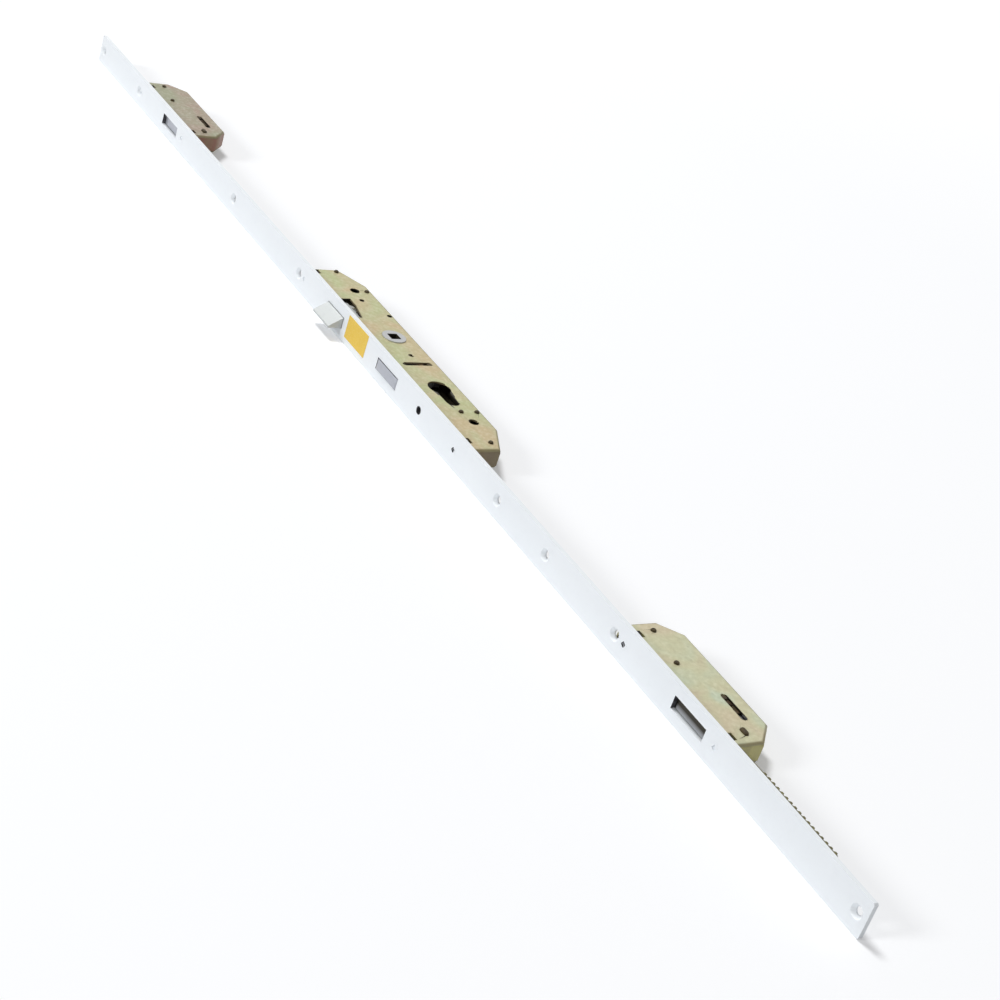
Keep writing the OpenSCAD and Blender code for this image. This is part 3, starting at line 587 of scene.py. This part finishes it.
def screw(corners, rubbed_and_shaded):
    """A countersunk screw at one CAD screw's place, its cross recess coated or dark, the dark partly
    rubbed-through coat and partly painted shade.
    """
    low, high = extent(corners)
    radius = (high.z - low.z) / 2
    length = high.y - low.y
    shape = bmesh.new()
    rim = bmesh.ops.create_circle(shape, cap_ends=True, segments=SCREW_SIDES, radius=radius)["verts"]
    edges = list(shape.edges)
    top = rim[0].link_faces[0]
    bmesh.ops.inset_individual(shape, faces=[top], thickness=radius - RECESS_REACH)
    waist = [v for i, v in enumerate(top.verts) if i % ARM_SIDES > ARM_SIDES // 2 - 1]
    bmesh.ops.scale(shape, verts=waist, vec=(RECESS_WAIST, RECESS_WAIST, 1.0))
    floor = bmesh.ops.extrude_discrete_faces(shape, faces=[top])["faces"][0]
    bmesh.ops.scale(shape, verts=floor.verts, vec=(RECESS_FLOOR, RECESS_FLOOR, 1.0))
    bmesh.ops.translate(shape, verts=floor.verts, vec=(0.0, 0.0, -RECESS_DEEP))
    # Painted shade, partly rubbed-through coat: a dark recess for the chosen screws
    for face in {f for e in floor.edges for f in e.link_faces}:
        face.material_index = int(rubbed_and_shaded)
    neck = radius * (1.0 - SHANK_SHARE)
    for drop, share in ((HEAD_RIM, 1.0), (neck, SHANK_SHARE), (length - HEAD_RIM - neck, 1.0)):
        ring = bmesh.ops.extrude_edge_only(shape, edges=edges)["geom"]
        verts = [g for g in ring if isinstance(g, bmesh.types.BMVert)]
        edges = [g for g in ring if isinstance(g, bmesh.types.BMEdge)]
        bmesh.ops.scale(shape, verts=verts, vec=(share, share, 1.0))
        bmesh.ops.translate(shape, verts=verts, vec=(0.0, 0.0, -drop))
    bmesh.ops.contextual_create(shape, geom=edges)
    turn = Matrix.Rotation(math.radians(90), 3, "X")
    bmesh.ops.rotate(shape, verts=shape.verts, matrix=turn)
    bmesh.ops.translate(shape, verts=shape.verts, vec=((low.x + high.x) / 2, low.y, (low.z + high.z) / 2))
    bmesh.ops.recalc_face_normals(shape, faces=shape.faces)
    return shape


def joined(shapes):
    whole = bmesh.new()
    for shape in shapes:
        mesh = bpy.data.meshes.new("part")
        shape.to_mesh(mesh)
        shape.free()
        whole.from_mesh(mesh)
        bpy.data.meshes.remove(mesh)
    return whole


screw_shapes = [screw(c, i in RUBBED_AND_SHADED_SCREWS) for i, c in enumerate(islands("case_screws"))]
screws = finish_piece(
    "case_screw_heads", joined(screw_shapes), ("white", "uncoated_and_shade"),
    body_of_node["case_screws"])
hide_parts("case_screws")


# Stage

FLOOR_Z = plate_low.z - 0.2 * MM
FLOOR_REACH = 8.0
FLOOR_LIT_SHARE = 0.94
FLOOR_GLOW = 4.2
FLOOR_FADE = (0.9, 1.8)
FAR_GLOW = 1.02
AMBIENT = 0.25


def seen_directly(tree):
    """1 for rays from the camera, a mirror or glass, and 0 for rays that only carry light."""
    path = node(tree, "ShaderNodeLightPath").outputs
    first = maths(tree, "MAXIMUM", path["Is Camera Ray"], path["Is Glossy Ray"])
    return maths(tree, "MAXIMUM", first, path["Is Transmission Ray"])


def white_glow(tree, strength):
    made = node(tree, "ShaderNodeEmission", {"Color": colour(1, 1, 1), "Strength": strength})
    return made.outputs["Emission"]


def make_floor():
    """A pale floor that keeps the lock's shadow and turns white far away from it."""
    shape = bmesh.new()
    bmesh.ops.create_grid(shape, x_segments=1, y_segments=1, size=FLOOR_REACH)
    bmesh.ops.translate(shape, verts=shape.verts, vec=(0.0, 0.0, FLOOR_Z))
    mesh = bpy.data.meshes.new("floor")
    shape.to_mesh(mesh)
    shape.free()
    floor = bpy.data.objects.new("floor", mesh)
    bpy.context.scene.collection.objects.link(floor)
    made = bpy.data.materials.new("pale_floor")
    made.use_nodes = True
    tree = made.node_tree
    tree.nodes.clear()
    lit = node(tree, "ShaderNodeBsdfDiffuse", {"Color": colour(0.86, 0.87, 0.89)}).outputs["BSDF"]
    seen = seen_directly(tree)
    glowing = scaled(tree, seen, 1.0 - FLOOR_LIT_SHARE)
    near = node(tree, "ShaderNodeMixShader", {
        0: glowing, 1: lit, 2: white_glow(tree, FLOOR_GLOW)}).outputs[0]
    place = node(tree, "ShaderNodeTexCoord").outputs["Object"]
    reach = vectors(tree, "LENGTH", place, out="Value")
    far = scaled(tree, seen, ramp(tree, reach, *FLOOR_FADE))
    both = node(tree, "ShaderNodeMixShader", {0: far, 1: near, 2: white_glow(tree, FAR_GLOW)}).outputs[0]
    node(tree, "ShaderNodeOutputMaterial", {"Surface": both})
    mesh.materials.append(made)


def make_world():
    world = bpy.data.worlds.new("studio")
    bpy.context.scene.world = world
    world.use_nodes = True
    tree = world.node_tree
    background = tree.nodes["Background"].inputs
    background["Color"].default_value = colour(1, 1, 1)
    tree.links.new(between(tree, seen_directly(tree), AMBIENT, 1.0), background["Strength"])


def soft_lamp(name, place, size, power):
    """A round lamp turned to the origin."""
    lamp = bpy.data.lights.new(name, "AREA")
    lamp.shape = "DISK"
    lamp.size = size
    lamp.energy = power
    held = bpy.data.objects.new(name, lamp)
    held.location = place
    held.rotation_euler = (-Vector(place)).to_track_quat("-Z", "Y").to_euler()
    bpy.context.scene.collection.objects.link(held)


# Camera fitted to the photograph
CAMERA_PLACE = (0.99187, -0.71459, 0.57114)
CAMERA_AIM = (0.13494, -0.025, 0.00198)
CAMERA_ROLL = math.radians(19.05)
CAMERA_LENS = 69.77


def make_camera():
    camera = bpy.data.cameras.new("camera")
    camera.sensor_width = 36.0
    camera.lens = CAMERA_LENS
    camera.clip_start = 0.01
    held = bpy.data.objects.new("camera", camera)
    held.location = CAMERA_PLACE
    look = (Vector(CAMERA_AIM) - Vector(CAMERA_PLACE)).to_track_quat("-Z", "Y").to_matrix()
    held.rotation_euler = (look @ Matrix.Rotation(CAMERA_ROLL, 3, "Z")).to_euler()
    bpy.context.scene.collection.objects.link(held)
    bpy.context.scene.camera = held


make_floor()
make_world()
soft_lamp("front", place=(-0.8, -10.6, 5.4), size=3.0, power=435.0)
soft_lamp("overhead", place=(-4.6, -1.6, 8.7), size=2.6, power=600.0)
make_camera()
bpy.context.scene.view_settings.view_transform = "Standard"
